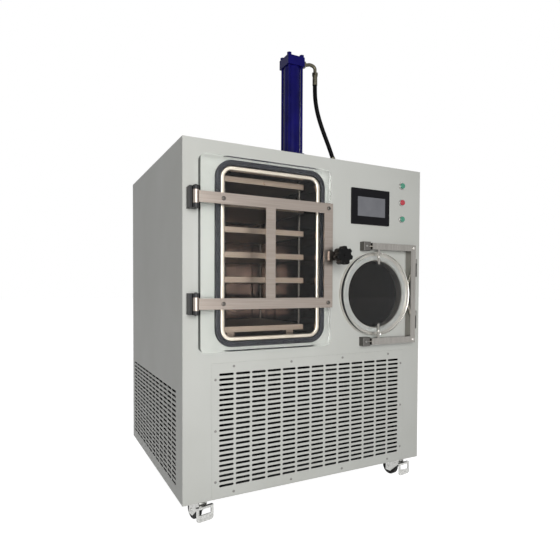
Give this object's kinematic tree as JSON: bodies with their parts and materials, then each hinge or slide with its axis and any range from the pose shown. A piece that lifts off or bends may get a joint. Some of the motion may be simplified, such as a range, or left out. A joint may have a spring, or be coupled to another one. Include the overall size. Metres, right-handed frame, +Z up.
{
  "type": "freeze dryer",
  "caption": "Pilot freeze dryer on castors: box chamber with moving shelves behind a clear hinged door, round cold trap, stoppering cylinder and control panel.",
  "frame": {"origin": "on the floor under the centre of the outline of the whole machine, from the clamp knob in front to the vacuum port behind", "axes": "+X to the right of a person who faces the front, +Y to the back, +Z up"},
  "size_m": [1.057, 1.015, 1.75],
  "materials": {
    "frame_paint": "satin",
    "cabinet_paint": "satin powder coat",
    "bright_steel": "bright turned steel",
    "stainless": "brushed stainless steel",
    "dark_rubber": "moulded silicone",
    "pale_rubber": "moulded silicone",
    "blue_paint": "gloss paint",
    "hose_rubber": "smooth hose cover",
    "clear_acrylic": "polished clear acrylic",
    "black_plastic": "moulded black plastic",
    "screen_glass": "unlit screen",
    "green_plastic": "moulded green plastic",
    "red_plastic": "moulded red plastic",
    "zinc_steel": "zinc plated pressing",
    "wheel_rubber": "solid tread",
    "black_paint": "satin paint",
    "black_enamel": "black enamel",
    "aluminium": "finned aluminium"
  },
  "bodies": {
    "cabinet": {"base_shelf": "stainless", "button_bezels": "bright_steel", "caster_plates": "zinc_steel", "chamber_gasket": "dark_rubber", "compressor": "black_enamel", "condenser": "aluminium", "cylinder_barrel": "blue_paint", "cylinder_cap": "blue_paint", "cylinder_head": "blue_paint", "drying_chamber": "stainless", "frame": "frame_paint", "front_grille": "cabinet_paint", "front_panel": "cabinet_paint", "guide_rods": "bright_steel", "hinge_brackets": "black_paint", "hmi_housing": "black_plastic", "hmi_screen": "screen_glass", "hose_bulkhead": "bright_steel", "hose_elbow": "bright_steel", "left_panel": "cabinet_paint", "panel_screws": "bright_steel", "pressure_hose": "hose_rubber", "rear_panel": "cabinet_paint", "right_panel": "cabinet_paint", "tie_rods": "blue_paint", "top_panel": "cabinet_paint", "trap_catches": "black_plastic", "trap_coil": "stainless", "trap_gasket": "pale_rubber", "trap_hinges": "black_paint", "trap_vessel": "stainless"},
    "door": {"door_pane": "clear_acrylic", "door_straps": "stainless", "strap_bolts": "bright_steel"},
    "clamp_screw": {"clamp_stud": "bright_steel"},
    "clamp_knob": {"star_knob": "black_plastic"},
    "trap_door": {"trap_pane": "clear_acrylic", "trap_yoke": "stainless", "trap_screws": "bright_steel"},
    "press": {"press_plate": "stainless", "piston_rod": "bright_steel"},
    "moving_shelf_1": {"shelf_1": "stainless"},
    "moving_shelf_2": {"shelf_2": "stainless"},
    "moving_shelf_3": {"shelf_3": "stainless"},
    "moving_shelf_4": {"shelf_4": "stainless"},
    "moving_shelf_5": {"shelf_5": "stainless"},
    "upper_push": {"upper_button": "green_plastic"},
    "stop_push": {"stop_button": "red_plastic"},
    "lower_push": {"lower_button": "green_plastic"},
    "fan": {"fan_impeller": "black_plastic"},
    "caster_swivel_fl": {"caster_fork_fl": "zinc_steel"},
    "caster_roller_fl": {"caster_wheel_fl": "wheel_rubber"},
    "caster_swivel_fr": {"caster_fork_fr": "zinc_steel"},
    "caster_roller_fr": {"caster_wheel_fr": "wheel_rubber"},
    "caster_swivel_rl": {"caster_fork_rl": "zinc_steel"},
    "caster_roller_rl": {"caster_wheel_rl": "wheel_rubber"},
    "caster_swivel_rr": {"caster_fork_rr": "zinc_steel"},
    "caster_roller_rr": {"caster_wheel_rr": "wheel_rubber"},
    "brake_lever_fl": {"brake_pedal_fl": "zinc_steel"},
    "brake_lever_fr": {"brake_pedal_fr": "zinc_steel"}
  },
  "joints": [
    {"name": "door_hinge", "type": "hinge", "parent": "cabinet", "child": "door", "pos_m": [-0.4945, -0.4375, 0.954], "axis": [0, 0, -1], "range_deg": [0, 110]},
    {"name": "clamp_advance", "type": "slide", "parent": "door", "child": "clamp_screw", "axis": [0, 1, 0], "range_m": [0, 0.0081]},
    {"name": "clamp_turn", "type": "hinge", "parent": "clamp_screw", "child": "clamp_knob", "pos_m": [0.0585, -0.4755, 0.953], "axis": [0, 1, 0], "range_deg": [0, 720]},
    {"name": "trap_door_hinge", "type": "hinge", "parent": "cabinet", "child": "trap_door", "pos_m": [0.4875, -0.4135, 0.8075], "axis": [0, 0, 1], "range_deg": [0, 110]},
    {"name": "press_slide", "type": "slide", "parent": "cabinet", "child": "press", "axis": [0, 0, -1], "range_m": [0, 0.18]},
    {"name": "shelf_1_slide", "type": "slide", "parent": "cabinet", "child": "moving_shelf_1", "axis": [0, 0, -1], "range_m": [0, 0.1505]},
    {"name": "shelf_2_slide", "type": "slide", "parent": "cabinet", "child": "moving_shelf_2", "axis": [0, 0, -1], "range_m": [0, 0.1205]},
    {"name": "shelf_3_slide", "type": "slide", "parent": "cabinet", "child": "moving_shelf_3", "axis": [0, 0, -1], "range_m": [0, 0.0905]},
    {"name": "shelf_4_slide", "type": "slide", "parent": "cabinet", "child": "moving_shelf_4", "axis": [0, 0, -1], "range_m": [0, 0.0605]},
    {"name": "shelf_5_slide", "type": "slide", "parent": "cabinet", "child": "moving_shelf_5", "axis": [0, 0, -1], "range_m": [0, 0.0305]},
    {"name": "upper_button_push", "type": "slide", "parent": "cabinet", "child": "upper_push", "axis": [0, 1, 0], "range_m": [0, 0.003], "stiffness_N_per_m": 500},
    {"name": "stop_button_push", "type": "slide", "parent": "cabinet", "child": "stop_push", "axis": [0, 1, 0], "range_m": [0, 0.003], "stiffness_N_per_m": 500},
    {"name": "lower_button_push", "type": "slide", "parent": "cabinet", "child": "lower_push", "axis": [0, 1, 0], "range_m": [0, 0.003], "stiffness_N_per_m": 500},
    {"name": "fan_spin", "type": "hinge", "parent": "cabinet", "child": "fan", "pos_m": [0.0065, -0.2405, 0.328], "axis": [0, 1, 0], "continuous": true},
    {"name": "caster_fl_swivel", "type": "hinge", "parent": "cabinet", "child": "caster_swivel_fl", "pos_m": [-0.4535, -0.3525, 0.0776], "axis": [0, 0, 1], "continuous": true},
    {"name": "caster_fl_roll", "type": "hinge", "parent": "caster_swivel_fl", "child": "caster_roller_fl", "pos_m": [-0.4601, -0.31508, 0.035], "axis": [-0.9848, -0.1736, 0], "continuous": true},
    {"name": "brake_fl_press", "type": "hinge", "parent": "caster_swivel_fl", "child": "brake_lever_fl", "pos_m": [-0.4502, -0.37121, 0.0661], "axis": [0.9848, 0.1736, 0], "range_deg": [0, 12]},
    {"name": "caster_fr_swivel", "type": "hinge", "parent": "cabinet", "child": "caster_swivel_fr", "pos_m": [0.4535, -0.3525, 0.0776], "axis": [0, 0, 1], "continuous": true},
    {"name": "caster_fr_roll", "type": "hinge", "parent": "caster_swivel_fr", "child": "caster_roller_fr", "pos_m": [0.44821, -0.31487, 0.035], "axis": [-0.9903, -0.1392, 0], "continuous": true},
    {"name": "brake_fr_press", "type": "hinge", "parent": "caster_swivel_fr", "child": "brake_lever_fr", "pos_m": [0.45614, -0.37132, 0.0661], "axis": [0.9903, 0.1392, 0], "range_deg": [0, 12]},
    {"name": "caster_rl_swivel", "type": "hinge", "parent": "cabinet", "child": "caster_swivel_rl", "pos_m": [-0.4535, 0.4335, 0.0776], "axis": [0, 0, 1], "continuous": true},
    {"name": "caster_rl_roll", "type": "hinge", "parent": "caster_swivel_rl", "child": "caster_roller_rl", "pos_m": [-0.4405, 0.46921, 0.035], "axis": [-0.9397, 0.342, 0], "continuous": true},
    {"name": "caster_rr_swivel", "type": "hinge", "parent": "cabinet", "child": "caster_swivel_rr", "pos_m": [0.4535, 0.4335, 0.0776], "axis": [0, 0, 1], "continuous": true},
    {"name": "caster_rr_roll", "type": "hinge", "parent": "caster_swivel_rr", "child": "caster_roller_rr", "pos_m": [0.43744, 0.46794, 0.035], "axis": [-0.9063, -0.4226, 0], "continuous": true}
  ],
  "couplings": [
    {"joint": "clamp_advance", "follows": "clamp_turn", "m_per_rad": 0.00063662},
    {"joint": "shelf_1_slide", "follows": "press_slide", "ratio": 0.83333},
    {"joint": "shelf_2_slide", "follows": "press_slide", "ratio": 0.66667},
    {"joint": "shelf_3_slide", "follows": "press_slide", "ratio": 0.5},
    {"joint": "shelf_4_slide", "follows": "press_slide", "ratio": 0.33333},
    {"joint": "shelf_5_slide", "follows": "press_slide", "ratio": 0.16667}
  ]
}
